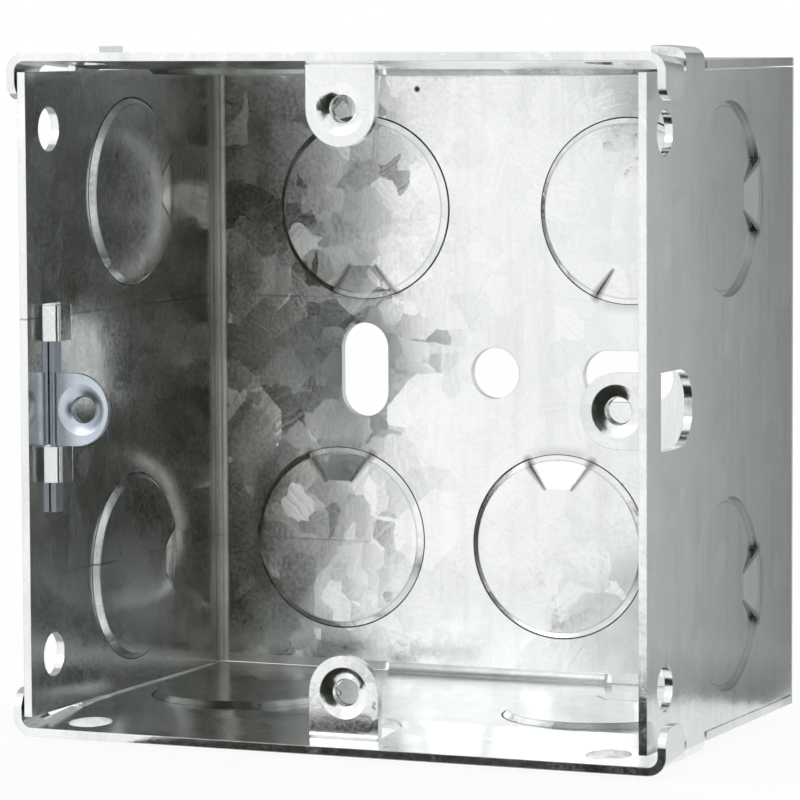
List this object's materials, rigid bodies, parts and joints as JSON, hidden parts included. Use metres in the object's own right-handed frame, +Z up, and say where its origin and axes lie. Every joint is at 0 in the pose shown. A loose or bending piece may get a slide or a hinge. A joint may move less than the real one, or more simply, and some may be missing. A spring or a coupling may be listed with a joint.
{
  "type": "flush back box",
  "caption": "Square open-fronted back box folded from galvanised sheet, with pressed knockouts, fixing slots, screw lugs and an adjustable lug on a slide.",
  "frame": {"origin": "centre of the back's outer face, on the axis of the middle fixing hole", "axes": "+Y into the wall, out of the back; +Z up; +X to the right seen from the open front"},
  "size_m": [0.0732, 0.047, 0.073],
  "materials": {
    "galvanised_sheet": "satin, hot-dip galvanised with a faint spangle",
    "lug_steel": "satin, zinc plated"
  },
  "bodies": {
    "box": {"box_body": "galvanised_sheet"},
    "left_lug": {"adjustable_lug": "lug_steel"}
  },
  "joints": [
    {"name": "lug_slide", "type": "slide", "parent": "box", "child": "left_lug", "axis": [0, 0, 1], "range_m": [0, 0.0033]}
  ]
}
